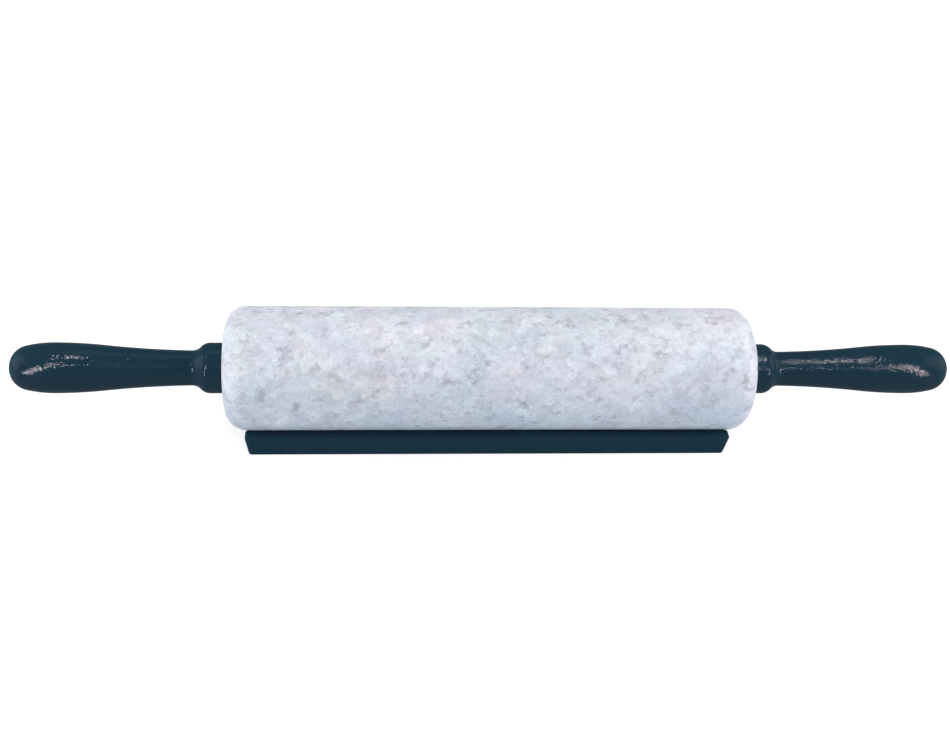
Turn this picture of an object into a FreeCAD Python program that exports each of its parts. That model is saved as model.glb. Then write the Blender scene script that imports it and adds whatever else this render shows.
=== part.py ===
import FreeCAD, Part
import math
import os
import re

import Sketcher

# A marble rolling pin on its wooden cradle.
# The cradle stands on the XY plane with the middle of its underside at the origin, and the pin lies along X.
# Each piece of an end is drawn in its own frame, with X pointing away from the barrel.

# Driving dimensions in millimetres. A name that ends in share is a proportion.
SIZES = {
    # Marble barrel
    "barrel_length": 254.0,
    "barrel_diameter": 60.0,
    "barrel_end_radius": 10.0,
    # Steel rod through the barrel, turned down and threaded where it enters the handles
    "rod_diameter": 9.5,
    "thread_diameter": 8.0,
    "thread_length": 30.0,
    "thread_chamfer": 1.0,
    # Flanged nylon bushings in the ends of the marble
    "bushing_wall": 3.2,
    "bushing_length": 22.0,
    "bushing_chamfer": 0.6,
    "flange_diameter": 22.0,
    "flange_thickness": 2.5,
    "flange_proud": 0.5,
    # Thrust washers between bushing and handle
    "washer_diameter": 20.0,
    "washer_thickness": 1.0,
    # Flanged brass inserts in the handles
    "insert_diameter": 12.0,
    "insert_length": 20.0,
    "insert_chamfer": 0.8,
    "insert_flange_diameter": 15.0,
    "insert_flange_thickness": 1.5,
    # Turned handles: stations are measured from the collar's face
    "handle_length": 99.8,
    "collar_diameter": 24.4,
    "collar_length": 5.7,
    "collar_chamfer": 0.8,
    "neck_diameter": 16.9,
    "neck_station": 14.4,
    "swell_radius": 465.0,
    "belly_diameter": 24.3,
    "belly_share": 0.79,
    "belly_radius": 225.0,
    "taper_radius": 58.0,
    "shoulder_radius": 10.0,
    "tip_radius": 20.0,
    "rod_hole_reserve": 3.0,
    # Wooden cradle
    "cradle_length": 236.0,
    "cradle_width": 50.0,
    "cradle_height": 11.5,
    "cradle_web": 4.7,
    "cradle_undercut": 1.5,
    "cradle_corner_chamfer": 1.0,
    "cradle_edge_radius": 0.6,
    "cradle_foot_chamfer": 0.25,
    # Fits and clearances
    "running_clearance": 0.05,
    "glue_gap": 0.05,
    "thread_clearance": 0.05,
    "rod_hole_clearance": 0.25,
    "washer_clearance": 0.25,
    "end_play": 0.3,
    "seat_gap": 0.3,
    # Length by which a through cut passes the faces it opens
    "overrun": 5.0,
}

# Sizes and places that several pieces share
AXIS_HEIGHT = "cradle_web + seat_gap + barrel_diameter / 2"
BUSHING_BORE = "rod_diameter + 2 * running_clearance"
BUSHING_DIAMETER = BUSHING_BORE + " + 2 * bushing_wall"
FLANGE_DEPTH = "flange_thickness - flange_proud"
WASHER_STATION = "barrel_length / 2 + flange_proud + end_play"
COLLAR_STATION = WASHER_STATION + " + washer_thickness"
TROUGH_DIAMETER = "barrel_diameter + 2 * seat_gap"

ORIGIN = FreeCAD.Vector(0, 0, 0)
UP = FreeCAD.Vector(0, 0, 1)
TOLERANCE = 1e-6

# In a sketch, a curve's points are 1 its start, 2 its end and 3 its centre.
# Curve -1 is the horizontal axis, whose point 1 is the origin, and curve -2 the vertical axis.

doc = FreeCAD.newDocument("rolling_pin")
sheet = doc.addObject("Spreadsheet::Sheet", "Sizes")
for row, (alias, number) in enumerate(SIZES.items(), start=1):
    sheet.set(f"A{row}", alias)
    sheet.set(f"B{row}", str(number))
    sheet.setAlias(f"B{row}", alias)
doc.recompute()


def bound(text):
    """The expression with every size's name led by the name of its sheet."""
    return re.sub(r"[a-z_]+", lambda word: "Sizes." + word[0] if word[0] in SIZES else word[0], text)


def value(text):
    """The number that an expression in the named sizes gives now."""
    return float(sheet.evalExpression(bound(text)))


def new_body(label):
    body = doc.addObject("PartDesign::Body", label)
    body.Label = label
    return body


def place(body, station="0", side=1):
    """Set a body on the pin's axis at a station along X, turned about for the left end."""
    body.Placement.Rotation = FreeCAD.Rotation(UP, 0 if side > 0 else 180)
    body.setExpression("Placement.Base.x", bound(f"{side} * ({station})"))
    body.setExpression("Placement.Base.z", bound(AXIS_HEIGHT))


def new_sketch(body, name, role, offset="0"):
    """A sketch on one of the body's own origin planes, moved along the plane's normal."""
    sketch = body.newObject("Sketcher::SketchObject", name)
    plane = next(item for item in body.Origin.OriginFeatures if item.Role == role)
    sketch.AttachmentSupport = [(plane, "")]
    sketch.MapMode = "FlatFace"
    sketch.setExpression("AttachmentOffset.Base.z", bound(offset))
    return sketch


def dimension(sketch, name, kind, *places, size):
    """Add a named dimension to a sketch and tie it to an expression in the named sizes."""
    index = sketch.addConstraint(Sketcher.Constraint(kind, *places, value(size)))
    sketch.renameConstraint(index, name)
    sketch.setExpression(f"Constraints.{name}", bound(size))


def settle(body, volume_before, cut):
    """Recompute and make sure that the newest feature added or removed material as it should."""
    doc.recompute()
    change = body.Shape.Volume - volume_before
    if (change < 0) != cut or abs(change) < TOLERANCE:
        raise ValueError(f"{body.Label}: {body.Tip.Label} changed the volume by {change}")


def round_stretch(body, name, diameter, start, length, cut=False):
    """A round stretch along the body's X axis, added to the body or cut out of it."""
    volume_before = 0 if body.Tip is None else body.Shape.Volume
    sketch = new_sketch(body, name + "_outline", "YZ_Plane", start)
    circle = sketch.addGeometry(Part.Circle(ORIGIN, UP, value(diameter) / 2))
    sketch.addConstraint(Sketcher.Constraint("Coincident", circle, 3, -1, 1))
    dimension(sketch, "diameter", "Diameter", circle, size=diameter)
    feature = body.newObject("PartDesign::Pocket" if cut else "PartDesign::Pad", name)
    feature.Profile = sketch
    feature.Reversed = cut
    feature.setExpression("Length", bound(length))
    settle(body, volume_before, cut)
    return feature


def ease(body, kind, name, size, chosen):
    """Round (Fillet) or chamfer the edges of the body's newest feature that the test chooses."""
    base = body.Tip
    volume_before = body.Shape.Volume
    edges = [f"Edge{index}" for index, edge in enumerate(base.Shape.Edges, start=1) if chosen(edge)]
    feature = body.newObject("PartDesign::" + kind, name)
    feature.Base = (base, edges)
    feature.setExpression("Radius" if kind == "Fillet" else "Size", bound(size))
    settle(body, volume_before, cut=True)
    return feature


def is_ring(edge, diameter, station=None):
    """Whether an edge is a full circle of this diameter about X, at a station if one is given."""
    if not isinstance(edge.Curve, Part.Circle):
        return False
    if abs(2 * edge.Curve.Radius - value(diameter)) > TOLERANCE:
        return False
    return station is None or abs(edge.Curve.Center.x - value(station)) < TOLERANCE


# Marble barrel: a cylinder with well rounded ends, bored through and counterbored for the flanges
def make_barrel():
    body = new_body("marble_barrel")
    place(body)
    round_stretch(body, "barrel", "barrel_diameter", "-barrel_length / 2", "barrel_length")
    ease(body, "Fillet", "rounded_ends", "barrel_end_radius", lambda edge: is_ring(edge, "barrel_diameter"))
    bore = f"{BUSHING_DIAMETER} + 2 * glue_gap"
    seat = "flange_diameter + 2 * glue_gap"
    round_stretch(body, "bore", bore, "-barrel_length / 2 - overrun", "barrel_length + 2 * overrun", cut=True)
    depth = f"{FLANGE_DEPTH} + overrun"
    round_stretch(body, "left_counterbore", seat, "-barrel_length / 2 - overrun", depth, cut=True)
    round_stretch(body, "right_counterbore", seat, f"barrel_length / 2 - ({FLANGE_DEPTH})", depth, cut=True)


# Steel rod: full thickness between the collars, thinner threaded ends that screw into the inserts
def make_rod():
    body = new_body("axle_rod")
    place(body)
    round_stretch(body, "shaft", "rod_diameter", f"-({COLLAR_STATION})", f"2 * ({COLLAR_STATION})")
    round_stretch(body, "left_thread", "thread_diameter", f"-({COLLAR_STATION}) - thread_length",
                  "thread_length")
    round_stretch(body, "right_thread", "thread_diameter", COLLAR_STATION, "thread_length")
    tips = [f"{sign}({COLLAR_STATION} + thread_length)" for sign in ("-", "")]
    ease(body, "Chamfer", "thread_ends", "thread_chamfer",
         lambda edge: any(is_ring(edge, "thread_diameter", tip) for tip in tips))


# Nylon bushing: a sleeve glued into the marble, with a flange that stands a little proud of its end
def make_bushing(name, side):
    body = new_body(name)
    place(body, f"barrel_length / 2 - ({FLANGE_DEPTH})", side)
    round_stretch(body, "sleeve", BUSHING_DIAMETER, "-bushing_length", "bushing_length")
    round_stretch(body, "flange", "flange_diameter", "0", "flange_thickness")
    rims = ((BUSHING_DIAMETER, "-bushing_length"), ("flange_diameter", "flange_thickness"))
    ease(body, "Chamfer", "eased_edges", "bushing_chamfer",
         lambda edge: any(is_ring(edge, *rim) for rim in rims))
    round_stretch(body, "bore", BUSHING_BORE, "-bushing_length - overrun",
                  "bushing_length + flange_thickness + 2 * overrun", cut=True)


# Thrust washer: keeps the wooden collar off the turning flange
def make_washer(name, side):
    body = new_body(name)
    place(body, WASHER_STATION, side)
    round_stretch(body, "disc", "washer_diameter", "0", "washer_thickness")
    round_stretch(body, "hole", "rod_diameter + 2 * washer_clearance", "-overrun",
                  "washer_thickness + 2 * overrun", cut=True)


# Brass insert: flush with the collar's face, its flange let into the wood
def make_insert(name, side):
    body = new_body(name)
    place(body, COLLAR_STATION, side)
    round_stretch(body, "shank", "insert_diameter", "0", "insert_length")
    round_stretch(body, "flange", "insert_flange_diameter", "0", "insert_flange_thickness")
    ease(body, "Chamfer", "lead_in", "insert_chamfer",
         lambda edge: is_ring(edge, "insert_diameter", "insert_length"))
    round_stretch(body, "thread", "thread_diameter + 2 * thread_clearance", "-overrun",
                  "insert_length + 2 * overrun", cut=True)


def meet(first, first_reach, second, second_reach, side):
    """The point at given distances from two points, on the left (1) or right (-1) of their line."""
    line = second - first
    span = line.Length
    along = (span ** 2 + first_reach ** 2 - second_reach ** 2) / (2 * span)
    across = math.sqrt(first_reach ** 2 - along ** 2)
    direction = FreeCAD.Vector(line).normalize()
    return first + direction * along + UP.cross(direction) * across * side


def toward(centre, radius, target):
    """The point of a circle that lies towards a target."""
    return centre + FreeCAD.Vector(target - centre).normalize() * radius


def add_arc(sketch, centre, radius, left, right, crest):
    """Add an arc from left to right, over its centre (a crest) or under it, and give its two ends."""
    first, last = (right, left) if crest else (left, right)
    angles = [math.atan2(point.y - centre.y, point.x - centre.x) for point in (first, last)]
    if angles[1] < angles[0]:
        angles[1] += 2 * math.pi
    arc = sketch.addGeometry(Part.ArcOfCircle(Part.Circle(centre, UP, radius), *angles))
    return (arc, 2, 1) if crest else (arc, 1, 2)


def add_line(sketch, first, last):
    return sketch.addGeometry(Part.LineSegment(first, last)), 1, 2


# Outline of a turned handle: collar, ogee to the neck, long swell to the belly, rounded end.
# All its stretches but the flat face run smoothly into each other as tangent arcs.
def handle_outline(body):
    sketch = new_sketch(body, "turned_outline", "XZ_Plane")
    point = FreeCAD.Vector
    collar_radius = value("collar_diameter / 2")
    chamfer = value("collar_chamfer")
    neck = point(value("neck_station"), value("neck_diameter / 2"), 0)
    belly_station = "handle_length * belly_share"
    belly = point(value(belly_station), value("belly_diameter / 2"), 0)
    tip = point(value("handle_length"), 0, 0)
    swell, crest, taper, shoulder, tip_radius = (
        value(part + "_radius") for part in ("swell", "belly", "taper", "shoulder", "tip"))

    # Centres of the arcs: the ogee is two equal arcs, and the rest follow from tangency
    collar_end = point(value("collar_length"), collar_radius, 0)
    drop = collar_end.y - neck.y
    ogee = ((neck.x - collar_end.x) ** 2 + drop ** 2) / (4 * drop)
    ogee_top = point(collar_end.x, collar_end.y - ogee, 0)
    ogee_cove = point(neck.x, neck.y + ogee, 0)
    crest_centre = point(belly.x, belly.y - crest, 0)
    swell_centre = meet(ogee_cove, swell - ogee, crest_centre, swell + crest, 1)
    taper_centre = point(belly.x, belly.y - taper, 0)
    tip_centre = point(tip.x - tip_radius, 0, 0)
    shoulder_centre = meet(taper_centre, taper - shoulder, tip_centre, tip_radius - shoulder, -1)

    # Points where the stretches meet
    ogee_middle = (ogee_top + ogee_cove) * 0.5
    cove_end = toward(ogee_cove, ogee, 2 * ogee_cove - swell_centre)
    swell_end = toward(crest_centre, crest, swell_centre)
    taper_end = toward(shoulder_centre, shoulder, 2 * shoulder_centre - taper_centre)
    shoulder_end = toward(shoulder_centre, shoulder, 2 * shoulder_centre - tip_centre)
    face_top = point(0, collar_radius - chamfer, 0)
    edge_end = point(chamfer, collar_radius, 0)

    face = add_line(sketch, ORIGIN, face_top)
    edge = add_line(sketch, face_top, edge_end)
    collar = add_line(sketch, edge_end, collar_end)
    top = add_arc(sketch, ogee_top, ogee, collar_end, ogee_middle, True)
    cove = add_arc(sketch, ogee_cove, ogee, ogee_middle, cove_end, False)
    grip = add_arc(sketch, swell_centre, swell, cove_end, swell_end, False)
    rise = add_arc(sketch, crest_centre, crest, swell_end, belly, True)
    fall = add_arc(sketch, taper_centre, taper, belly, taper_end, True)
    round_off = add_arc(sketch, shoulder_centre, shoulder, taper_end, shoulder_end, True)
    nose = add_arc(sketch, tip_centre, tip_radius, shoulder_end, tip, True)
    axis = add_line(sketch, tip, ORIGIN)

    smooth = [collar, top, cove, grip, rise, fall, round_off, nose]
    for before, after in zip(smooth, smooth[1:]):
        sketch.addConstraint(Sketcher.Constraint("Tangent", before[0], before[2], after[0], after[1]))
    for before, after in ((nose, axis), (axis, face), (face, edge), (edge, collar)):
        sketch.addConstraint(Sketcher.Constraint("Coincident", before[0], before[2], after[0], after[1]))
    sketch.addConstraint(Sketcher.Constraint("Coincident", face[0], face[1], -1, 1))
    sketch.addConstraint(Sketcher.Constraint("Vertical", face[0]))
    sketch.addConstraint(Sketcher.Constraint("Horizontal", collar[0]))
    sketch.addConstraint(Sketcher.Constraint("Horizontal", axis[0]))
    sketch.addConstraint(Sketcher.Constraint("PointOnObject", nose[0], 3, -1))
    sketch.addConstraint(Sketcher.Constraint("Equal", top[0], cove[0]))
    sketch.addConstraint(Sketcher.Constraint("Vertical", rise[0], 3, rise[0], rise[2]))

    # The neck is the lowest point of the cove, straight below its centre
    plumb = add_line(sketch, ogee_cove, neck)[0]
    sketch.toggleConstruction(plumb)
    sketch.addConstraint(Sketcher.Constraint("Vertical", plumb))
    sketch.addConstraint(Sketcher.Constraint("Coincident", plumb, 1, cove[0], 3))
    sketch.addConstraint(Sketcher.Constraint("PointOnObject", plumb, 2, cove[0]))

    origin = (-1, 1)
    dimension(sketch, "length", "DistanceX", *origin, nose[0], nose[2], size="handle_length")
    dimension(sketch, "collar_end", "DistanceX", *origin, collar[0], collar[2], size="collar_length")
    dimension(sketch, "collar_height", "DistanceY", *origin, collar[0], collar[2], size="collar_diameter / 2")
    dimension(sketch, "chamfer_width", "DistanceX", edge[0], 1, edge[0], 2, size="collar_chamfer")
    dimension(sketch, "chamfer_height", "DistanceY", edge[0], 1, edge[0], 2, size="collar_chamfer")
    dimension(sketch, "neck_place", "DistanceX", *origin, plumb, 2, size="neck_station")
    dimension(sketch, "neck_height", "DistanceY", *origin, plumb, 2, size="neck_diameter / 2")
    dimension(sketch, "swell", "Radius", grip[0], size="swell_radius")
    dimension(sketch, "belly_place", "DistanceX", *origin, rise[0], rise[2], size=belly_station)
    dimension(sketch, "belly_height", "DistanceY", *origin, rise[0], rise[2], size="belly_diameter / 2")
    dimension(sketch, "belly", "Radius", rise[0], size="belly_radius")
    dimension(sketch, "taper", "Radius", fall[0], size="taper_radius")
    dimension(sketch, "shoulder", "Radius", round_off[0], size="shoulder_radius")
    dimension(sketch, "tip", "Radius", nose[0], size="tip_radius")
    doc.recompute()
    if not sketch.FullyConstrained:
        raise ValueError(f"{body.Label}: the outline is not fully constrained")
    return sketch


# Handle: the turned outline revolved about the pin's axis, bored for the insert and for the rod's end
def make_handle(name, side):
    body = new_body(name)
    place(body, COLLAR_STATION, side)
    sketch = handle_outline(body)
    turned = body.newObject("PartDesign::Revolution", "turned")
    turned.Profile = sketch
    turned.ReferenceAxis = (sketch, ["H_Axis"])
    settle(body, 0, cut=False)
    round_stretch(body, "flange_recess", "insert_flange_diameter + 2 * glue_gap", "-overrun",
                  "insert_flange_thickness + overrun", cut=True)
    round_stretch(body, "insert_bore", "insert_diameter + 2 * glue_gap", "-overrun",
                  "insert_length + overrun", cut=True)
    round_stretch(body, "rod_hole", "thread_diameter + 2 * rod_hole_clearance", "-overrun",
                  "thread_length + rod_hole_reserve + overrun", cut=True)


# Cradle: a low block that draws in towards its underside, with a round trough along its top
def make_cradle():
    body = new_body("cradle")
    outline = new_sketch(body, "top_outline", "XY_Plane", "cradle_height")
    half_length, half_width = value("cradle_length / 2"), value("cradle_width / 2")
    quarters = ((-1, -1), (1, -1), (1, 1), (-1, 1))
    corners = [FreeCAD.Vector(x * half_length, y * half_width, 0) for x, y in quarters]
    lines = [add_line(outline, first, last)[0] for first, last in zip(corners, corners[1:] + corners[:1])]
    for line, following in zip(lines, lines[1:] + lines[:1]):
        outline.addConstraint(Sketcher.Constraint("Coincident", line, 2, following, 1))
    for front_or_back, end in ((lines[0], lines[1]), (lines[2], lines[3])):
        outline.addConstraint(Sketcher.Constraint("Horizontal", front_or_back))
        outline.addConstraint(Sketcher.Constraint("Vertical", end))
    outline.addConstraint(Sketcher.Constraint("Symmetric", lines[0], 1, lines[2], 1, -1, 1))
    dimension(outline, "length", "DistanceX", lines[0], 1, lines[0], 2, size="cradle_length")
    dimension(outline, "width", "DistanceY", lines[1], 1, lines[1], 2, size="cradle_width")
    block = body.newObject("PartDesign::Pad", "block")
    block.Profile = outline
    block.Reversed = True
    block.setExpression("Length", bound("cradle_height"))
    block.setExpression("TaperAngle", bound("-atan(cradle_undercut / cradle_height)"))
    settle(body, 0, cut=False)

    def at_height(edge, height):
        return all(abs(vertex.Point.z - value(height)) < TOLERANCE for vertex in edge.Vertexes)

    def is_corner(edge):
        return abs(edge.Vertexes[0].Point.z - edge.Vertexes[-1].Point.z) > TOLERANCE

    ease(body, "Chamfer", "eased_corners", "cradle_corner_chamfer", is_corner)
    ease(body, "Chamfer", "eased_foot", "cradle_foot_chamfer", lambda edge: at_height(edge, "0"))

    volume_before = body.Shape.Volume
    section = new_sketch(body, "trough_outline", "YZ_Plane", "-cradle_length / 2 - overrun")
    axis = FreeCAD.Vector(0, value(AXIS_HEIGHT), 0)
    circle = section.addGeometry(Part.Circle(axis, UP, value(TROUGH_DIAMETER) / 2))
    section.addConstraint(Sketcher.Constraint("PointOnObject", circle, 3, -2))
    dimension(section, "axis_height", "DistanceY", -1, 1, circle, 3, size=AXIS_HEIGHT)
    dimension(section, "trough", "Diameter", circle, size=TROUGH_DIAMETER)
    trough = body.newObject("PartDesign::Pocket", "trough")
    trough.Profile = section
    trough.Reversed = True
    trough.setExpression("Length", bound("cradle_length + 2 * overrun"))
    settle(body, volume_before, cut=True)

    ease(body, "Fillet", "eased_top", "cradle_edge_radius", lambda edge: at_height(edge, "cradle_height"))


make_barrel()
make_rod()
for side_name, side in (("left", -1), ("right", 1)):
    make_bushing(f"{side_name}_bushing", side)
    make_washer(f"{side_name}_thrust_washer", side)
    make_insert(f"{side_name}_threaded_insert", side)
    make_handle(f"{side_name}_handle", side)
make_cradle()
doc.recompute()

failed = [item.Label for item in doc.Objects if {"Invalid", "Error"} & set(item.State)]
if failed:
    raise ValueError(f"failed objects: {failed}")
pieces = [item for item in doc.Objects if item.TypeId == "PartDesign::Body"]
for piece in pieces:
    if piece.Shape.isNull() or not piece.Shape.isValid() or len(piece.Shape.Solids) != 1:
        raise ValueError(f"{piece.Label} is not one valid solid")

os.makedirs("parts", exist_ok=True)
for piece in pieces:
    piece.Shape.exportStep(f"parts/{piece.Label}.step")
    box = piece.Shape.optimalBoundingBox(False)
    print(f"{piece.Label}: {box.XLength:.2f} x {box.YLength:.2f} x {box.ZLength:.2f} mm, "
          f"{piece.Shape.Volume / 1000:.2f} cm3")
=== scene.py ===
# %% [markdown]
# # A marble rolling pin on its cradle
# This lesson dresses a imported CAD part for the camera. The part is a marble barrel that turns on a
# steel rod between two painted wooden handles, and it lies in a low painted wooden cradle.
# The CAD model gives every place and size, so nothing here is fitted by eye. We load it first and
# keep its box, because the dressed model has to stay inside it.

# %% Load the frame
import math

import bmesh
import bpy
from mathutils import Matrix, Vector


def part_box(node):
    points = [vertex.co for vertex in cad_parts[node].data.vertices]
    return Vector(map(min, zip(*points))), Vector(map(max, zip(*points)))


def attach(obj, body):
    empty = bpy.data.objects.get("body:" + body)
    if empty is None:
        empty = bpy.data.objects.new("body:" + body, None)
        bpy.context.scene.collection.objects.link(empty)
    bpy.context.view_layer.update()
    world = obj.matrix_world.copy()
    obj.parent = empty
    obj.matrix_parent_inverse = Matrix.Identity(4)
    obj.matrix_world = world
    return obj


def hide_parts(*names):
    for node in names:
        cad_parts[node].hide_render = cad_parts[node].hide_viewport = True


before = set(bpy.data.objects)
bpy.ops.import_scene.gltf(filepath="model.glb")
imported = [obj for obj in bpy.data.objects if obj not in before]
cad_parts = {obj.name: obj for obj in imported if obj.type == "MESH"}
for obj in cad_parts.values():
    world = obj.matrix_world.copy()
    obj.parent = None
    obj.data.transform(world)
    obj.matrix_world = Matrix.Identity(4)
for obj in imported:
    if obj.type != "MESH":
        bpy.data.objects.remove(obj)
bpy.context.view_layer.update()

# %% [markdown]
# ## Outlines to turn
# All pieces but the cradle are turned on a lathe, so each of them is one outline that goes round the
# pin's axis. An outline could be drawn by hand, but a turner works from a few sizes: diameters,
# stations along the axis and the radii of coves and swells. We do the same, in millimetres, and
# write each outline as a list of (station along X, radius) points, outside first and bores last.

# %% Points along straights and arcs
MM = 0.001
AXIS_HEIGHT = 35.0
STEP = 4.0
SAG = 0.004


def straight(start, end, step=STEP):
    """Points from start towards end, at most one step apart, without the end."""
    start, end = Vector(start), Vector(end)
    count = max(1, math.ceil((end - start).length / step))
    return [start.lerp(end, number / count) for number in range(count)]


def polyline(corners, step=STEP):
    """Straights through the corners, with the last corner as well."""
    points = [point for pair in zip(corners, corners[1:]) for point in straight(*pair, step)]
    return points + [Vector(corners[-1])]


def arc(centre, start, end):
    """Points along the shorter arc about a centre, close enough to sag little, without the end."""
    first, last = Vector(start) - Vector(centre), Vector(end) - Vector(centre)
    sweep = first.angle_signed(last)
    step = 2 * math.acos(1 - SAG / first.length)
    count = max(2, math.ceil(abs(sweep) / step))
    turns = (Matrix.Rotation(-sweep * number / count, 2) for number in range(count))
    return [Vector(centre) + turn @ first for turn in turns]


print("a quarter of a circle of 10 mm takes", len(arc((0, 0), (10, 0), (0, 10))), "points")

# %% [markdown]
# The barrel is a plain cylinder with well rounded ends. Its bore is a little wider at both ends,
# where the flange of a bushing is let in.

# %% The barrel's outline
BARREL_END, BARREL_RADIUS, END_ROUNDING = 127.0, 30.0, 10.0
FLANGE_SEAT, FLANGE_SEAT_RADIUS, BORE_RADIUS = 125.0, 11.05, 8.05


def barrel_outline():
    face, shoulder = BARREL_RADIUS - END_ROUNDING, BARREL_END - END_ROUNDING
    outside = [Vector((-BARREL_END, FLANGE_SEAT_RADIUS))]
    outside += arc((-shoulder, face), (-BARREL_END, face), (-shoulder, BARREL_RADIUS))
    outside += straight((-shoulder, BARREL_RADIUS), (shoulder, BARREL_RADIUS))
    outside += arc((shoulder, face), (shoulder, BARREL_RADIUS), (BARREL_END, face))
    bore = polyline([(BARREL_END, face), (BARREL_END, FLANGE_SEAT_RADIUS), (FLANGE_SEAT, FLANGE_SEAT_RADIUS),
                     (FLANGE_SEAT, BORE_RADIUS), (-FLANGE_SEAT, BORE_RADIUS),
                     (-FLANGE_SEAT, FLANGE_SEAT_RADIUS), (-BARREL_END, FLANGE_SEAT_RADIUS)])
    return outside + bore


print("barrel outline:", len(barrel_outline()), "points")

# %% [markdown]
# A handle has a collar that meets the barrel, an ogee down to a thin neck, a long hollow swell that
# rises to the belly, and a rounded end. A spline through a few points would wobble. Arcs that touch
# each other are what the turner's eye follows, and only their radii are needed: where two circles
# touch, their centres and the touching point lie on one line, which gives each next centre.
# A low lip round the collar's face covers the washer behind it, so that from outside the wood seems
# to meet the marble in one fine dark line. The lip stays clear of the barrel, which has to turn.

# %% The handle's outline
HANDLE_START, HANDLE_LENGTH = 128.8, 99.8
COLLAR_RADIUS, COLLAR_LENGTH, COLLAR_CHAMFER = 12.2, 5.7, 0.25
LIP_REACH, LIP_RADIUS = 0.9, 10.3
NECK_STATION, NECK_RADIUS = 14.4, 8.45
BELLY_STATION, BELLY_RADIUS = 78.842, 12.15
SWELL_ARC, BELLY_ARC, TAPER_ARC, SHOULDER_ARC, TIP_ARC = 465.0, 225.0, 58.0, 10.0, 20.0
ROD_HOLE_DEPTH, ROD_HOLE_RADIUS = 33.0, 4.25
INSERT_HOLE_DEPTH, INSERT_HOLE_RADIUS = 20.0, 6.05
FLANGE_RECESS_DEPTH, FLANGE_RECESS_RADIUS = 1.5, 7.55


def meeting(first, first_reach, second, second_reach, side):
    """The point at given distances from two points, on the left (1) or right (-1) of their line."""
    line = second - first
    along = (line.length ** 2 + first_reach ** 2 - second_reach ** 2) / (2 * line.length)
    across = math.sqrt(first_reach ** 2 - along ** 2)
    direction = line.normalized()
    return first + direction * along + Vector((-direction.y, direction.x)) * across * side


def rim_point(centre, radius, towards):
    return centre + (towards - centre).normalized() * radius


def handle_outline():
    collar_end, neck = Vector((COLLAR_LENGTH, COLLAR_RADIUS)), Vector((NECK_STATION, NECK_RADIUS))
    belly, tip = Vector((BELLY_STATION, BELLY_RADIUS)), Vector((HANDLE_LENGTH, 0))
    edge = Vector((COLLAR_CHAMFER - LIP_REACH, COLLAR_RADIUS))
    drop = collar_end.y - neck.y
    ogee = ((neck.x - collar_end.x) ** 2 + drop ** 2) / (4 * drop)
    round_over, cove = collar_end - Vector((0, ogee)), neck + Vector((0, ogee))
    rise, fall = belly - Vector((0, BELLY_ARC)), belly - Vector((0, TAPER_ARC))
    swell = meeting(cove, SWELL_ARC - ogee, rise, SWELL_ARC + BELLY_ARC, 1)
    nose = tip - Vector((TIP_ARC, 0))
    shoulder = meeting(fall, TAPER_ARC - SHOULDER_ARC, nose, TIP_ARC - SHOULDER_ARC, -1)
    cove_end = rim_point(cove, ogee, 2 * cove - swell)
    swell_end = rim_point(rise, BELLY_ARC, swell)
    fall_end = rim_point(shoulder, SHOULDER_ARC, 2 * shoulder - fall)
    shoulder_end = rim_point(shoulder, SHOULDER_ARC, 2 * shoulder - nose)
    middle = (round_over + cove) / 2
    points = polyline([(ROD_HOLE_DEPTH, 0), (ROD_HOLE_DEPTH, ROD_HOLE_RADIUS),
                       (INSERT_HOLE_DEPTH, ROD_HOLE_RADIUS), (INSERT_HOLE_DEPTH, INSERT_HOLE_RADIUS),
                       (FLANGE_RECESS_DEPTH, INSERT_HOLE_RADIUS), (FLANGE_RECESS_DEPTH, FLANGE_RECESS_RADIUS),
                       (0, FLANGE_RECESS_RADIUS), (0, LIP_RADIUS), (-LIP_REACH, LIP_RADIUS),
                       (-LIP_REACH, COLLAR_RADIUS - COLLAR_CHAMFER), edge])
    points += straight(edge, collar_end)[1:]
    for centre, start, end in ((round_over, collar_end, middle), (cove, middle, cove_end),
                               (swell, cove_end, swell_end), (rise, swell_end, belly),
                               (fall, belly, fall_end), (shoulder, fall_end, shoulder_end),
                               (nose, shoulder_end, tip)):
        points += arc(centre, start, end)
    points.append(tip)
    return [point + Vector((HANDLE_START, 0)) for point in points]


print("handle outline:", len(handle_outline()), "points, ends at", round(handle_outline()[-1].x, 2), "mm")

# %% [markdown]
# Inside, a steel rod runs in two flanged nylon bushings, and its thinner ends screw into brass
# inserts in the handles. A thin washer keeps each wooden collar off the turning bushing. They hardly
# show, but they are real pieces, so they get real outlines too.

# %% The inner pieces' outlines
ROD_RADIUS, THREAD_RADIUS, THREAD_CHAMFER, THREAD_LENGTH = 4.75, 4.0, 1.0, 30.0
THREAD_STEP = 0.2
BUSHING_INNER_END, BUSHING_RADIUS, BUSHING_BORE, BUSHING_CHAMFER = 103.0, 8.0, 4.8, 0.6
FLANGE_RADIUS, FLANGE_FACE = 11.0, 127.5
WASHER_START, WASHER_RADIUS, WASHER_HOLE = 127.8, 10.0, 5.0
INSERT_RADIUS, INSERT_FLANGE_RADIUS, INSERT_BORE, INSERT_CHAMFER = 6.0, 7.5, 4.05, 0.8


def rod_outline():
    tip = HANDLE_START + THREAD_LENGTH
    half = [(tip, 0), (tip, THREAD_RADIUS - THREAD_CHAMFER), (tip - THREAD_CHAMFER, THREAD_RADIUS)]
    thread = [(HANDLE_START, THREAD_RADIUS), (HANDLE_START, ROD_RADIUS)]
    right = polyline(half) + straight(half[-1], thread[0], THREAD_STEP)[1:] + polyline(thread)
    left = [Vector((-point.x, point.y)) for point in right]
    return left + straight(left[-1], right[-1])[1:] + right[::-1]


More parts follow.
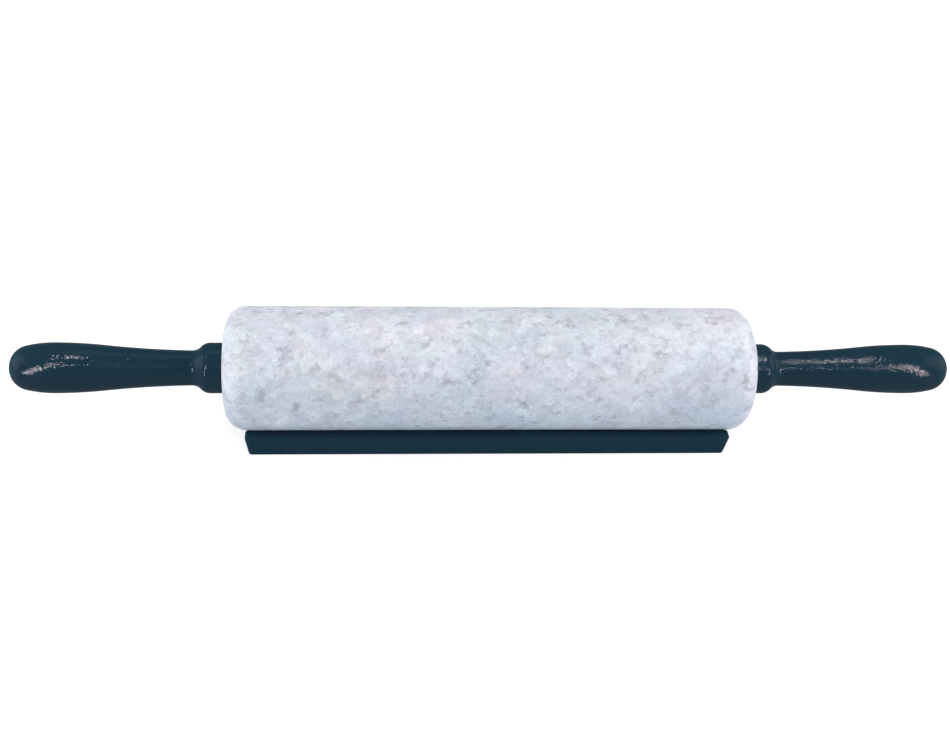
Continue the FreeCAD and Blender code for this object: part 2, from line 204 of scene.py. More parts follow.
def bushing_outline():
    inner, eased = BUSHING_INNER_END, BUSHING_CHAMFER
    return polyline([(inner, BUSHING_BORE), (inner, BUSHING_RADIUS - eased), (inner + eased, BUSHING_RADIUS),
                     (FLANGE_SEAT, BUSHING_RADIUS), (FLANGE_SEAT, FLANGE_RADIUS),
                     (FLANGE_FACE - eased, FLANGE_RADIUS), (FLANGE_FACE, FLANGE_RADIUS - eased),
                     (FLANGE_FACE, BUSHING_BORE), (inner, BUSHING_BORE)])


def washer_outline():
    return polyline([(WASHER_START, WASHER_HOLE), (WASHER_START, WASHER_RADIUS), (HANDLE_START, WASHER_RADIUS),
                     (HANDLE_START, WASHER_HOLE), (WASHER_START, WASHER_HOLE)])


def insert_outline():
    flange, end = HANDLE_START + FLANGE_RECESS_DEPTH, HANDLE_START + INSERT_HOLE_DEPTH
    return polyline([(HANDLE_START, INSERT_BORE), (HANDLE_START, INSERT_FLANGE_RADIUS),
                     (flange, INSERT_FLANGE_RADIUS), (flange, INSERT_RADIUS),
                     (end - INSERT_CHAMFER, INSERT_RADIUS), (end, INSERT_RADIUS - INSERT_CHAMFER),
                     (end, INSERT_BORE), (HANDLE_START, INSERT_BORE)])


print("rod outline:", len(rod_outline()), "points")

# %% [markdown]
# ## A lathe of nodes
# Blender has a Spin tool and a Screw modifier, which both turn an outline. Geometry Nodes do it here
# because the same tree can also cut a groove that winds round the piece, which makes a screw thread
# when it goes round once per pitch.
# The tree lays out a grid with one row per outline point and one column per step of the turn, moves
# each grid point to its place on the circle, and then welds the seam.

# %% One function that adds a node
def add(tree, kind, inputs=(), **settings):
    """Add a node, set its properties, and fill its sockets with values or with other nodes' outputs."""
    node = tree.nodes.new(kind)
    for name, setting in settings.items():
        setattr(node, name, setting)
    for socket, source in dict(inputs).items():
        if isinstance(source, bpy.types.NodeSocket):
            tree.links.new(source, node.inputs[socket])
        else:
            node.inputs[socket].default_value = source
    return node


# %% The lathe tree: grid and outline
lathe = bpy.data.node_groups.new("turn_on_lathe", "GeometryNodeTree")
for socket_name, socket_type in (("Outline", "Geometry"), ("Steps", "Int"), ("Axis Height", "Float"),
                                 ("Groove Depth", "Float"), ("Grooves per Metre", "Float"),
                                 ("Grooves Around", "Float"), ("Finish", "Material")):
    lathe.interface.new_socket(socket_name, in_out="INPUT", socket_type="NodeSocket" + socket_type)
lathe.interface.new_socket("Turned Piece", in_out="OUTPUT", socket_type="NodeSocketGeometry")

given = add(lathe, "NodeGroupInput").outputs
rows = add(lathe, "GeometryNodeAttributeDomainSize", {"Geometry": given["Outline"]}).outputs["Point Count"]
columns = add(lathe, "FunctionNodeIntegerMath", {0: given["Steps"], 1: 1}, operation="ADD").outputs[0]
grid = add(lathe, "GeometryNodeMeshGrid", {"Vertices X": rows, "Vertices Y": columns})
index = add(lathe, "GeometryNodeInputIndex").outputs[0]
row = add(lathe, "FunctionNodeIntegerMath", {0: index, 1: columns}, operation="DIVIDE_FLOOR").outputs[0]
column = add(lathe, "FunctionNodeIntegerMath", {0: index, 1: columns}, operation="MODULO").outputs[0]

place = add(lathe, "GeometryNodeInputPosition").outputs[0]
point = add(lathe, "GeometryNodeSampleIndex", {"Geometry": given["Outline"], "Value": place, "Index": row},
            data_type="FLOAT_VECTOR")
grooved = add(lathe, "GeometryNodeInputNamedAttribute", {"Name": "grooved"}, data_type="FLOAT").outputs[0]
share = add(lathe, "GeometryNodeSampleIndex", {"Geometry": given["Outline"], "Value": grooved, "Index": row},
            data_type="FLOAT").outputs[0]
flat = add(lathe, "ShaderNodeSeparateXYZ", {0: point.outputs[0]}).outputs
turn = add(lathe, "ShaderNodeMath", {0: column, 1: given["Steps"]}, operation="DIVIDE").outputs[0]
print("lathe tree so far:", len(lathe.nodes), "nodes")

# %% [markdown]
# The groove is a wave taken off the radius. Its phase winds with the turn and along the axis, and a
# folded wave gives it straight flanks, as a thread has. Then each grid point goes to its place on
# the circle.

# %% The lathe tree: groove and turn
along = add(lathe, "ShaderNodeMath", {0: flat["X"], 1: given["Grooves per Metre"]},
            operation="MULTIPLY").outputs[0]
phase = add(lathe, "ShaderNodeMath", {0: turn, 1: given["Grooves Around"], 2: along},
            operation="MULTIPLY_ADD").outputs[0]
wave = add(lathe, "ShaderNodeMath", {0: phase, 1: 0.5}, operation="PINGPONG").outputs[0]
depth = add(lathe, "ShaderNodeMath", {0: given["Groove Depth"], 1: share}, operation="MULTIPLY").outputs[0]
cut = add(lathe, "ShaderNodeMath", {0: wave, 1: depth}, operation="MULTIPLY").outputs[0]
twice = add(lathe, "ShaderNodeMath", {0: cut, 1: 2.0}, operation="MULTIPLY").outputs[0]
radius = add(lathe, "ShaderNodeMath", {0: flat["Y"], 1: twice}, operation="SUBTRACT").outputs[0]

angle = add(lathe, "ShaderNodeMath", {0: turn, 1: math.tau}, operation="MULTIPLY").outputs[0]
cosine = add(lathe, "ShaderNodeMath", {0: angle}, operation="COSINE").outputs[0]
sine = add(lathe, "ShaderNodeMath", {0: angle}, operation="SINE").outputs[0]
across = add(lathe, "ShaderNodeMath", {0: radius, 1: cosine}, operation="MULTIPLY").outputs[0]
above = add(lathe, "ShaderNodeMath", {0: radius, 1: sine, 2: given["Axis Height"]},
            operation="MULTIPLY_ADD").outputs[0]
landed = add(lathe, "ShaderNodeCombineXYZ", {"X": flat["X"], "Y": across, "Z": above}).outputs[0]
turned = add(lathe, "GeometryNodeSetPosition", {"Geometry": grid.outputs[0], "Position": landed}).outputs[0]
print("lathe tree so far:", len(lathe.nodes), "nodes")

# %% [markdown]
# Last, the faces are turned outwards, the seam is welded and the piece is shaded smooth. Edges that
# bend sharply stay crisp, because a turner's tool leaves them so.

# %% The lathe tree: weld and shade
SHARP_ANGLE = math.radians(28)
WELD = 1e-6
outward = add(lathe, "GeometryNodeFlipFaces", {0: turned}).outputs[0]
welded = add(lathe, "GeometryNodeMergeByDistance", {"Geometry": outward, "Distance": WELD}).outputs[0]

bend = add(lathe, "GeometryNodeInputMeshEdgeAngle").outputs["Unsigned Angle"]
crisp = add(lathe, "FunctionNodeCompare", {0: bend, 1: SHARP_ANGLE}, operation="GREATER_THAN").outputs[0]
smooth = add(lathe, "GeometryNodeSetShadeSmooth", {0: welded, "Shade Smooth": True}).outputs[0]
edged = add(lathe, "GeometryNodeSetShadeSmooth", {0: smooth, "Selection": crisp, "Shade Smooth": False},
            domain="EDGE").outputs[0]
realized = add(lathe, "GeometryNodeRealizeInstances", {0: edged}).outputs[0]
finished = add(lathe, "GeometryNodeSetMaterial", {0: realized, "Material": given["Finish"]}).outputs[0]
add(lathe, "NodeGroupOutput", {0: finished})
print("lathe tree:", len(lathe.nodes), "nodes")

# %% [markdown]
# The outline becomes a mesh of bare points for the tree to read. Its attribute `grooved` says where
# a groove may be cut and fades out towards the groove's ends. After the modifier has run once, the
# result is copied to a plain mesh. A closed piece whose faces look outwards has a positive volume,
# so the volume tells us whether the outline was given in the right order.

# %% Turn a piece
CM = 0.01


def show_volume(piece):
    """Print what a piece holds, which is positive for a closed piece whose faces look outwards."""
    shape = bmesh.new()
    shape.from_mesh(piece.data)
    volume, open_edges = shape.calc_volume(signed=True), sum(not edge.is_manifold for edge in shape.edges)
    print(f"{piece.name}: {len(shape.faces)} faces, {volume / CM ** 3:.2f} cm3, {open_edges} open edges")
    shape.free()


def turn_piece(name, outline, finish, steps, side=1, groove=(0, 0, 0), groove_from=0, groove_to=0, fade=1):
    """Turn an outline in millimetres about the pin's axis; side -1 makes the left end's piece."""
    points = outline if side > 0 else [Vector((-point.x, point.y)) for point in reversed(outline)]
    mesh = bpy.data.meshes.new(name + "_outline")
    mesh.from_pydata([(point.x * MM, point.y * MM, 0) for point in points], [], [])
    ends = [min(abs(point.x) - groove_from, groove_to - abs(point.x)) / fade for point in points]
    grooved = mesh.attributes.new("grooved", "FLOAT", "POINT")
    grooved.data.foreach_set("value", [min(max(end, 0), 1) for end in ends])
    blank = bpy.data.objects.new(name + "_blank", mesh)
    bpy.context.scene.collection.objects.link(blank)
    modifier = blank.modifiers.new("lathe", "NODES")
    modifier.node_group = lathe
    sockets = {item.name: item.identifier for item in lathe.interface.items_tree if item.in_out == "INPUT"}
    depth, per_metre, around = groove
    for socket, setting in (("Steps", steps), ("Axis Height", AXIS_HEIGHT * MM), ("Groove Depth", depth * MM),
                            ("Grooves per Metre", float(per_metre)), ("Grooves Around", float(around)),
                            ("Finish", finish)):
        modifier[sockets[socket]] = setting
    depsgraph = bpy.context.evaluated_depsgraph_get()
    piece = bpy.data.objects.new(name, bpy.data.meshes.new_from_object(blank.evaluated_get(depsgraph)))
    bpy.data.objects.remove(blank)
    bpy.data.meshes.remove(mesh)
    piece.data.name = name
    bpy.context.scene.collection.objects.link(piece)
    show_volume(piece)
    return piece


# %% [markdown]
# ## Finishes
# Each finish starts from the real material and how its surface was made. Patterns read Object
# coordinates, in metres, so they are solid like real stone and wood: they go right through a piece,
# turn with it and don't stretch on the rounded ends. Colours are written as the hex values a picture
# shows and turned to linear light by one function.

# %% Colours and the start of a finish
def linear(hex_colour):
    """A hex colour of the screen as linear red, green, blue and alpha."""
    channels = [int(hex_colour[start:start + 2], 16) / 255 for start in (1, 3, 5)]
    return [c / 12.92 if c <= 0.04045 else ((c + 0.055) / 1.055) ** 2.4 for c in channels] + [1.0]


def start_finish(name, **sockets):
    """A new material with a Principled shader, whose plain sockets are set, and its tree."""
    material = bpy.data.materials.new(name)
    material.use_nodes = True
    tree = material.node_tree
    shader = tree.nodes["Principled BSDF"]
    for socket, setting in sockets.items():
        shader.inputs[socket.replace("_", " ").title().replace("Ior", "IOR")].default_value = setting
    return material, tree, shader.inputs


print("middle grey of the screen in linear light:", round(linear("#808080")[0], 3))

# %% [markdown]
# The patterns of all finishes are built from the same few moves: a noise of some size, the room it
# lies in stretched one way, and two colours mixed by it.

# %% Noise, stretch and mix
def per(size_mm):
    """The scale of a texture whose pattern repeats about once in this many millimetres."""
    return 1 / (size_mm * MM)


def solid_room(tree, lift=0.0):
    """Object coordinates, counted from a height above the table in millimetres."""
    room = add(tree, "ShaderNodeTexCoord").outputs["Object"]
    return add(tree, "ShaderNodeMapping", {"Vector": room, "Location": (0, 0, -lift * MM)}).outputs[0]


def stretched(tree, room, shares):
    """The room scaled along X, Y and Z: a share under 1 draws a pattern out that way."""
    return add(tree, "ShaderNodeMapping", {"Vector": room, "Scale": shares}).outputs[0]


def noise(tree, room, size_mm, detail, roughness=0.5, output="Fac"):
    """Cloudy noise, with finer layers of detail on top."""
    return add(tree, "ShaderNodeTexNoise", {"Vector": room, "Scale": per(size_mm), "Detail": detail,
                                            "Roughness": roughness}).outputs[output]


def mixed(tree, factor, first, second, blend_type="MIX"):
    """Two colours mixed by a factor."""
    return add(tree, "ShaderNodeMix", {"Factor": factor, 6: first, 7: second}, data_type="RGBA",
               blend_type=blend_type).outputs[2]


print("one pattern per millimetre has the scale", per(1.0))

# %% [markdown]
# **Marble, turned and polished.** White marble is a mass of calcite crystals a few millimetres
# across. Each crystal sends back a slightly different grey, wide clouds and streaks lie behind them,
# and soft grey-violet spots are traces of other minerals. A single cloud texture looks like fog, so
# the crystals come from Voronoi cells with ragged edges, in three sizes, and the clouds, streaks and
# spots are noise of their own sizes. The polish is soft, because the crystals' edges break it up.
# The greys come first: each pattern lifts or lowers one tone, which then runs from grey to white.

# %% Polished marble: the greys
MARBLE_GREY, MARBLE_WHITE = linear("#A8AEB8"), linear("#F1F5FA")
CLOUD_SIZE, STREAK_SIZE, CRYSTAL_SIZE, GRAIN_SIZE, DUST_SIZE = 24, 7, 4.0, 1.7, 0.8
RAGGED_SIZE, RAGGED_REACH = 2.2, 2.6
CRYSTAL_STRETCH, STREAK_STRETCH = (0.85, 1, 1), (0.6, 1, 1)
BASE_TONE, CLOUD_WEIGHT, STREAK_WEIGHT = 0.35, 0.45, 0.44
CRYSTAL_WEIGHT, GRAIN_WEIGHT, DUST_WEIGHT = 0.32, 0.25, 0.25

marble, tree, surface = start_finish("polished_white_marble", roughness=0.5, ior=1.5, specular_ior_level=0.35)
centred = solid_room(tree, AXIS_HEIGHT)
ragged = noise(tree, centred, RAGGED_SIZE, 3.0, output="Color")
shove = add(tree, "ShaderNodeVectorMath", {0: ragged, 1: (0.5, 0.5, 0.5)}, operation="SUBTRACT").outputs[0]
warped = add(tree, "ShaderNodeVectorMath", {0: shove, 1: (RAGGED_REACH * MM,) * 3, 2: centred},
             operation="MULTIPLY_ADD").outputs[0]
drawn = stretched(tree, warped, CRYSTAL_STRETCH)
lengthwise = stretched(tree, warped, STREAK_STRETCH)
cells = [add(tree, "ShaderNodeTexVoronoi", {"Vector": drawn, "Scale": per(size)}).outputs["Color"]
         for size in (CRYSTAL_SIZE, GRAIN_SIZE, DUST_SIZE)]
cloud = noise(tree, drawn, CLOUD_SIZE, 4.0)
streak = noise(tree, lengthwise, STREAK_SIZE, 3.0)
tone = add(tree, "ShaderNodeMath", {0: cloud, 1: CLOUD_WEIGHT, 2: BASE_TONE},
           operation="MULTIPLY_ADD").outputs[0]
for pattern, weight in zip([streak] + cells, (STREAK_WEIGHT, CRYSTAL_WEIGHT, GRAIN_WEIGHT, DUST_WEIGHT)):
    level = add(tree, "ShaderNodeMath", {0: pattern, 1: 0.5}, operation="SUBTRACT").outputs[0]
    tone = add(tree, "ShaderNodeMath", {0: level, 1: weight, 2: tone}, operation="MULTIPLY_ADD").outputs[0]
colour = mixed(tree, tone, MARBLE_GREY, MARBLE_WHITE)
print("marble greys:", len(tree.nodes), "nodes")

# %% [markdown]
# No marble is pure grey. Two channels of one coloured noise lay a faint rose cast and a faint cool
# one over the greys, which keeps the white alive, and the soft spots lie over both.

# %% Polished marble: the casts and spots
ROSE_CAST, COOL_CAST, SPOT_GREY = linear("#FFF4FA"), linear("#F2FAFF"), linear("#A09FAC")
CAST_SIZE, CAST_FROM, CAST_FULL = 20, 0.35, 0.65
SPOT_SIZE, SPOT_FROM, SPOT_FULL, SPOT_STRENGTH = 5.5, 0.54, 0.69, 0.78
FINE_ROUGHNESS = 0.65
tint = noise(tree, lengthwise, CAST_SIZE, 6.0, FINE_ROUGHNESS, "Color")
hint = add(tree, "ShaderNodeSeparateColor", {0: tint}).outputs
for channel, cast in ((hint[0], ROSE_CAST), (hint[1], COOL_CAST)):
    amount = add(tree, "ShaderNodeMapRange", {0: channel, 1: CAST_FROM, 2: CAST_FULL}).outputs[0]
    colour = mixed(tree, amount, colour, cast, "MULTIPLY")
speck = noise(tree, drawn, SPOT_SIZE, 5.0, FINE_ROUGHNESS)
spottiness = add(tree, "ShaderNodeMapRange", {0: speck, 1: SPOT_FROM, 2: SPOT_FULL,
                                              4: SPOT_STRENGTH}).outputs[0]
tree.links.new(mixed(tree, spottiness, colour, SPOT_GREY), surface["Base Color"])
print("marble:", len(tree.nodes), "nodes")

# %% [markdown]
# **Turned hardwood under gloss black paint.** The paint is nearly black with a cold green-blue cast.
# It follows the open pores of the wood and the fine rings that the turning tool left, so a lamp's
# reflection breaks up into sparkling specks. Those are bumps: short pits along the grain and rings
# round the axis, both drawn about twice as coarse as they are, so that they show at this distance.
# The gloss is a thin clear coat over a matt colour, which keeps the paint dark beside the streaks.

# %% Gloss paint on turned wood
GLOSS_DARK, GLOSS_LIGHT = linear("#18313E"), linear("#1B3542")
PORE_SIZE, RING_SIZE, PATCH_SIZE = 0.8, 1.1, 9
PORE_STRETCH, RING_STRETCH = (0.55, 1, 1), (1, 0.03, 0.03)
RING_SHARE, PORE_DEPTH = 0.4, 0.125
GLOSS_ROUGHNESS = (0.4, 0.6)

gloss, tree, surface = start_finish("gloss_black_paint_on_turned_wood", ior=1.5, specular_ior_level=0.0,
                                    coat_weight=0.12, coat_roughness=0.05)
centred = solid_room(tree, AXIS_HEIGHT)
grainwise = stretched(tree, centred, PORE_STRETCH)
pore = noise(tree, grainwise, PORE_SIZE, 1.0)
ring = noise(tree, stretched(tree, centred, RING_STRETCH), RING_SIZE, 1.0)
patch = noise(tree, grainwise, PATCH_SIZE, 3.0)
height = add(tree, "ShaderNodeMath", {0: ring, 1: RING_SHARE, 2: pore}, operation="MULTIPLY_ADD").outputs[0]
bumps = add(tree, "ShaderNodeBump", {"Strength": 1.0, "Distance": PORE_DEPTH * MM, "Height": height}).outputs[0]
sheen = add(tree, "ShaderNodeMapRange", {0: pore, 3: GLOSS_ROUGHNESS[0], 4: GLOSS_ROUGHNESS[1]}).outputs[0]
tree.links.new(mixed(tree, patch, GLOSS_DARK, GLOSS_LIGHT), surface["Base Color"])
tree.links.new(sheen, surface["Roughness"])
tree.links.new(bumps, surface["Normal"])
tree.links.new(bumps, surface["Coat Normal"])
print("gloss paint:", len(tree.nodes), "nodes")

# %% [markdown]
# **Planed hardwood under satin black paint.** The cradle has the same colour without the gloss: the
# paint is thinner, lies flat, and only a faint lengthwise grain shows through.

# %% Satin paint on planed wood
SATIN_DARK, SATIN_LIGHT = linear("#1B3541"), linear("#203A49")
FIBRE_SIZE, FIBRE_STRETCH, FIBRE_DEPTH, FIBRE_STRENGTH = 1.2, (0.06, 1, 1), 0.04, 0.6
SATIN_ROUGHNESS = (0.42, 0.56)

satin, tree, surface = start_finish("satin_black_paint_on_planed_wood", ior=1.5, specular_ior_level=0.02)
fibre = noise(tree, stretched(tree, solid_room(tree), FIBRE_STRETCH), FIBRE_SIZE, 3.0)
bumps = add(tree, "ShaderNodeBump", {"Strength": FIBRE_STRENGTH, "Distance": FIBRE_DEPTH * MM,
                                     "Height": fibre}).outputs[0]
sheen = add(tree, "ShaderNodeMapRange", {0: fibre, 3: SATIN_ROUGHNESS[0], 4: SATIN_ROUGHNESS[1]}).outputs[0]
tree.links.new(mixed(tree, fibre, SATIN_DARK, SATIN_LIGHT), surface["Base Color"])
tree.links.new(sheen, surface["Roughness"])
tree.links.new(bumps, surface["Normal"])
print("satin paint:", len(tree.nodes), "nodes")

# %% [markdown]
# **Nylon, steel and brass.** The inner pieces are plain engineering stock. Natural nylon is milky and
# waxy, drawn steel bar has fine lines along its length, and a brass insert shows the rings of the
# tool that cut it. One noise, stretched a different way, is enough for each.

# %% Finishes of the inner pieces
def stock(name, dark, light, stretch, size_mm, rough, **sockets):
    """Plain bar stock: two close colours and a roughness that follow one stretched noise."""
    material, tree, surface = start_finish(name, **sockets)
    lines = noise(tree, stretched(tree, solid_room(tree), stretch), size_mm, 3.0)
    shine = add(tree, "ShaderNodeMapRange", {0: lines, 3: rough[0], 4: rough[1]}).outputs[0]
    tree.links.new(mixed(tree, lines, linear(dark), linear(light)), surface["Base Color"])
    tree.links.new(shine, surface["Roughness"])
    return material


nylon = stock("natural_nylon", "#DAD8CE", "#E9E7DF", (1, 1, 1), 3.0, (0.42, 0.52), ior=1.53)
steel = stock("drawn_steel_bar", "#B4B6B8", "#CFD1D2", (0.04, 1, 1), 0.6, (0.22, 0.36), metallic=1.0)
brass = stock("machined_brass", "#C09A4E", "#D8B568", (1, 0.05, 0.05), 0.5, (0.2, 0.32), metallic=1.0)
print("inner finishes:", nylon.name, steel.name, brass.name)

# %% [markdown]
# ## The pieces
# Every piece rides on a body of the CAD model, so it moves with that body's joint, and replaces the
# plain solid it stands for. The barrel and its bushings turn; the rod, the handles and what is fixed
# to them hold still in the hands; the cradle stays on the table.

# %% Seat a piece in the frame
def seat(piece, body, node):
    """Let a piece ride on a body in place of a CAD node, and print how far their boxes differ."""
    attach(piece, body)
    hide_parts(node)
    corners = [vertex.co for vertex in piece.data.vertices]
    low = [min(corner[axis] for corner in corners) for axis in range(3)]
    high = [max(corner[axis] for corner in corners) for axis in range(3)]
    gap = max(abs(a - b) for mine, cad in zip((low, high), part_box(node)) for a, b in zip(mine, cad))
    print(f"{piece.name} for {node}: boxes differ by {gap / MM:.3f} mm")


# %% Turn and seat the pieces
BARREL_STEPS, HANDLE_STEPS, INNER_STEPS = 160, 96, 48
seat(turn_piece("marble_roller", barrel_outline(), marble, BARREL_STEPS), "roller", "marble_barrel")
THREAD_PITCH, THREAD_DEPTH, THREAD_RUNOUT = 1.25, 0.7, 1.0
thread = (THREAD_DEPTH, 1 / (THREAD_PITCH * MM), 1)
rod = turn_piece("threaded_rod", rod_outline(), steel, INNER_STEPS, groove=thread,
                 groove_from=HANDLE_START + THREAD_RUNOUT, groove_to=HANDLE_START + THREAD_LENGTH)
seat(rod, "handle_set", "axle_rod")
for side_name, side in (("left", -1), ("right", 1)):
    handle = turn_piece(side_name + "_grip", handle_outline(), gloss, HANDLE_STEPS, side)
    seat(handle, "handle_set", side_name + "_handle")
    bushing = turn_piece(side_name + "_flanged_bushing", bushing_outline(), nylon, INNER_STEPS, side)
    seat(bushing, "roller", side_name + "_bushing")
    washer = turn_piece(side_name + "_washer", washer_outline(), nylon, INNER_STEPS, side)
    seat(washer, "handle_set", side_name + "_thrust_washer")
    insert = turn_piece(side_name + "_brass_insert", insert_outline(), brass, INNER_STEPS, side)
    seat(insert, "handle_set", side_name + "_threaded_insert")

# %% [markdown]
# The cradle is the one piece that isn't turned: a block that draws in towards its underside, with a
# round trough along its top and softly eased edges. The CAD solid already has that shape, but its
# mesh is loose triangles. A copy is welded, its flat faces are joined, and only edges that bend
# sharply stay crisp, so the eased edges catch the light as one smooth line.

# %% The cradle
FLAT = math.radians(0.2)
CRISP = math.radians(32)
shape = bmesh.new()
shape.from_mesh(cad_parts["cradle"].data)
bmesh.ops.remove_doubles(shape, verts=shape.verts, dist=WELD)
bmesh.ops.dissolve_limit(shape, angle_limit=FLAT, verts=shape.verts, edges=shape.edges)
for face in shape.faces:
    face.smooth = True
for edge in shape.edges:
    edge.smooth = edge.is_manifold and edge.calc_face_angle() < CRISP
block = bpy.data.meshes.new("trough_block")
shape.to_mesh(block)
shape.free()
block.materials.append(satin)
cradle = bpy.data.objects.new("trough_block", block)
bpy.context.scene.collection.objects.link(cradle)
show_volume(cradle)
seat(cradle, "cradle", "cradle")

# %% [markdown]
# ## The studio
# A product photograph of this kind is taken on a pale sheet that the camera sees as white. Turning
# up the lamps until the sheet burns out would burn out the marble too. So the rays that look at the
# floor see it bright, with the object's shadow on it, and all other rays see its own pale blue,
# which tints the light that comes back up under the pin.

# %% The floor
FLOOR_HALF = 4.0
FLOOR_BLUE, FLOOR_VEIL, FLOOR_GLOW = linear("#CFDDE6"), 0.4, 0.75


def shown_rays(tree):
    """1 for the rays that look at a surface, from the camera or off gloss or through glass, and else 0."""
    path = add(tree, "ShaderNodeLightPath").outputs
    seen = path["Is Camera Ray"]
    for ray in ("Is Glossy Ray", "Is Transmission Ray"):
        seen = add(tree, "ShaderNodeMath", {0: seen, 1: path[ray]}, operation="MAXIMUM").outputs[0]
    return seen


ground = bpy.data.materials.new("pale_floor")
ground.use_nodes = True
tree = ground.node_tree
tree.nodes.clear()
plain = add(tree, "ShaderNodeBsdfDiffuse", {"Color": FLOOR_BLUE}).outputs[0]
veil = add(tree, "ShaderNodeBsdfDiffuse", {"Color": (FLOOR_VEIL,) * 3 + (1,)}).outputs[0]
glow = add(tree, "ShaderNodeEmission", {"Color": (1, 1, 1, 1), "Strength": FLOOR_GLOW}).outputs[0]
pale = add(tree, "ShaderNodeAddShader", {0: veil, 1: glow}).outputs[0]
either = add(tree, "ShaderNodeMixShader", {0: shown_rays(tree), 1: plain, 2: pale}).outputs[0]
add(tree, "ShaderNodeOutputMaterial", {"Surface": either})
floor_mesh = bpy.data.meshes.new("studio_floor")
corners = [(x * FLOOR_HALF, y * FLOOR_HALF, 0) for x, y in ((-1, -1), (1, -1), (1, 1), (-1, 1))]
floor_mesh.from_pydata(corners, [], [(0, 1, 2, 3)])
floor_mesh.materials.append(ground)
floor = bpy.data.objects.new("studio_floor", floor_mesh)
bpy.context.scene.collection.objects.link(floor)
print("floor:", 2 * FLOOR_HALF, "m wide")

# %% [markdown]
# The world is a dim even white that fills the shadows. From low down the camera looks past the
# floor's edge, where a studio has a backdrop. That could be a bent sheet, but a pale band low in the
# world does the same from every side.

# %% The world
FILL, BACKDROP, BACKDROP_TOP, BACKDROP_END = 0.36, 0.89, 0.12, 0.22
world = bpy.data.worlds.new("pale_studio")
bpy.context.scene.world = world
world.use_nodes = True
tree = world.node_tree
gaze = add(tree, "ShaderNodeTexCoord").outputs["Generated"]
rise = add(tree, "ShaderNodeSeparateXYZ", {0: gaze}).outputs["Z"]
wall = add(tree, "ShaderNodeMapRange", {0: rise, 1: BACKDROP_TOP, 2: BACKDROP_END, 3: 1.0, 4: 0.0}).outputs[0]
shown = add(tree, "ShaderNodeMath", {0: shown_rays(tree), 1: wall}, operation="MULTIPLY").outputs[0]
level = add(tree, "ShaderNodeMapRange", {0: shown, 3: FILL, 4: BACKDROP}).outputs[0]
sky = tree.nodes["Background"]
sky.inputs["Color"].default_value = (1, 1, 1, 1)
tree.links.new(level, sky.inputs["Strength"])
print("world: fill", FILL, "with a pale backdrop of", BACKDROP)

# %% [markdown]
# Four soft boxes light the object: a key in front and above, a second one over the back edge, and
# one at each side for the barrel's round ends. Large boxes give marble soft shades, and a table of
# them is easier to tune than a lamp placed by hand.

# %% Soft boxes
PIN_MIDDLE = (0, 0, AXIS_HEIGHT * MM)
# Name, place in metres, width and height in metres, watts
SOFT_BOXES = (("key_box", (0.02, -0.55, 0.70), (0.35, 0.4), 2.45),
              ("back_top_box", (0.0, 0.35, 0.85), (0.7, 0.3), 1.30),
              ("right_side_box", (0.75, -0.05, 0.35), (0.6, 0.6), 3.5),
              ("left_side_box", (-0.75, 0.0, 0.33), (0.6, 0.6), 3.9))


def hang(light, place, target):
    """Hang a light at a place, turned towards a target."""
    lamp = bpy.data.objects.new(light.name, light)
    lamp.location = place
    lamp.rotation_euler = (Vector(target) - Vector(place)).to_track_quat("-Z", "Y").to_euler()
    bpy.context.scene.collection.objects.link(lamp)
    return lamp


for name, place, (wide, high), watts in SOFT_BOXES:
    light = bpy.data.lights.new(name, "AREA")
    light.shape, light.size, light.size_y, light.energy = "RECTANGLE", wide, high, watts
    hang(light, place, PIN_MIDDLE)
    print(f"{name}: {watts} W, radiance {watts / (math.pi * wide * high):.1f}")

# %% [markdown]
# Gloss paint shows each lamp as a streak, so small lamps draw the streaks where the photograph has
# them. A snoot, a tube that narrows the beam, keeps each of them on its own handle. They would also
# brighten the paint itself, so they are hidden from diffuse rays: the paint renders as it is written,
# and only its shine shows them. Rows of lamps over the right handle make its two long streaks, one
# lamp makes the left handle's spot, one the glow on the marble's right end, and a slanting row in
# front of each handle makes the curved streak near its tip.

# %% Snoots
SNOOT_TINT = (1.0, 0.85, 0.93)
LONG_ROW = [(0.245, y, 0.38) for y in (-0.095, -0.045, 0.005)]
LOW_ROW = [(x, -0.35, 0.32) for x in (0.27, 0.33, 0.39)]
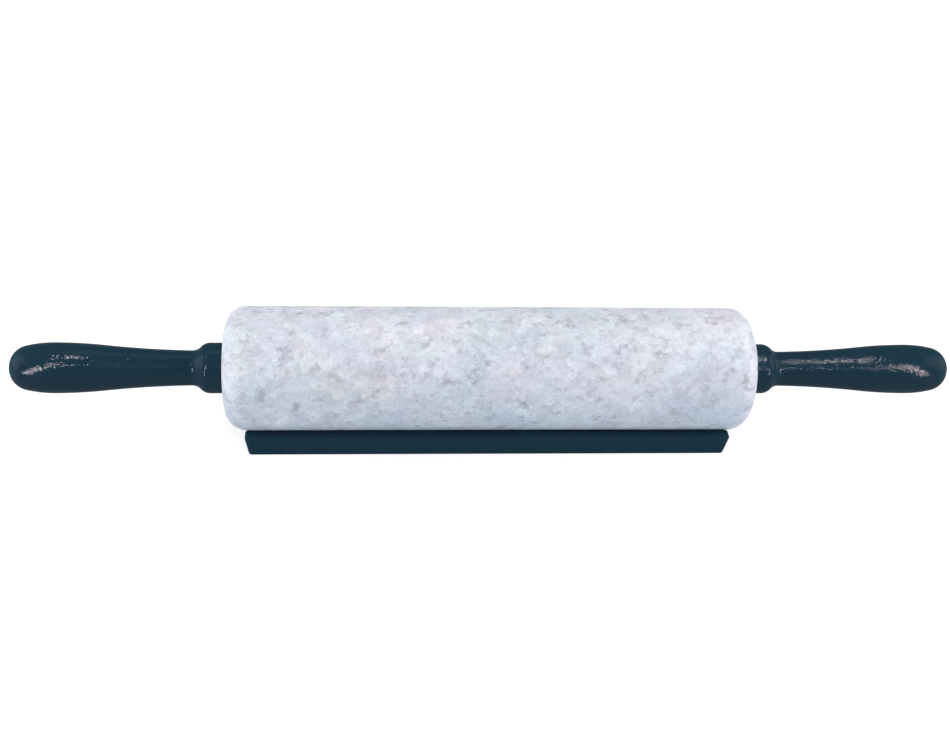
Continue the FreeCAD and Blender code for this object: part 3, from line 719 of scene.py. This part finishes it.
# Name, places, target, radius in metres, cone in degrees, watts of each lamp, softness of the beam's edge
SNOOTS = [("right_snoot", LONG_ROW, (0.175, 0, 0.045), 0.012, 19, (0.95,) * 3, 0.3),
          ("right_low_snoot", LOW_ROW, (0.168, 0, 0.045), 0.012, 14, (0.8,) * 3, 0.5),
          ("left_snoot", [(-0.245, -0.028, 0.39)], (-0.18, 0, 0.045), 0.02, 18.5, (2.1,), 0.3),
          ("right_end_snoot", [(0.45, -0.03, 0.55)], (0.114, -0.014, 0.060), 0.03, 4.0, (105.0,), 1.0)]
FRONT_SHARES, FRONT_WATTS = (0, 0.33, 0.67, 1), (7.2, 12.0, 13.0, 14.0)
for name, side, top in (("left_front_snoot", -1, (-0.36, -0.45, 0.57)),
                        ("right_front_snoot", 1, (0.43, -0.45, 0.54))):
    bottom = Vector((0.60 * side, -0.58, 0.16))
    row = [Vector(top).lerp(bottom, share) for share in FRONT_SHARES]
    SNOOTS.append((name, row, (0.198 * side, 0, 0.04), 0.036, 12.2, FRONT_WATTS, 0.5))

for name, places, target, radius, cone, powers, softness in SNOOTS:
    for place, watts in zip(places, powers):
        light = bpy.data.lights.new(name, "SPOT")
        light.shadow_soft_size, light.energy, light.color = radius, watts, SNOOT_TINT
        light.spot_size, light.spot_blend = math.radians(cone), softness
        hang(light, place, target).visible_diffuse = False
    print(f"{name}: {len(places)} of {powers[0]} W or more")

# %% [markdown]
# ## The camera
# The photograph was taken from about 38 degrees above the table, a little to the left of the pin's
# middle, from close by: the left handle looks larger than the right one. The distance, the turn and
# the focal length were worked out from the outlines of the barrel, the handles and the cradle.

# %% Camera
DISTANCE, ELEVATION, TURN = 640.0, math.radians(38), math.radians(4.29)
ASIDE, LOWER, ROLL = 7.15, 0.34, math.radians(0.08)
FOCAL_PIXELS, IMAGE_WIDTH, SENSOR = 1312.0, 950, 36.0
level_way = Vector((0, math.cos(ELEVATION), -math.sin(ELEVATION)))
forward = math.sin(TURN) * Vector((1, 0, 0)) + math.cos(TURN) * level_way
rightward = math.cos(TURN) * Vector((1, 0, 0)) - math.sin(TURN) * level_way
upward = Vector((0, math.sin(ELEVATION), math.cos(ELEVATION)))
stand = Vector((0, 0, AXIS_HEIGHT)) - DISTANCE * forward - ASIDE * rightward - LOWER * upward
lens = bpy.data.cameras.new("camera")
lens.sensor_width, lens.lens = SENSOR, FOCAL_PIXELS / IMAGE_WIDTH * SENSOR
camera = bpy.data.objects.new("camera", lens)
aim = Matrix((rightward, upward, -forward)).transposed().to_4x4() @ Matrix.Rotation(ROLL, 4, "Z")
camera.matrix_world = Matrix.Translation(stand * MM) @ aim
bpy.context.scene.collection.objects.link(camera)
bpy.context.scene.camera = camera
bpy.context.scene.view_settings.view_transform = "Standard"
print("camera at", [round(number, 4) for number in camera.location], "lens", round(lens.lens, 2), "mm")
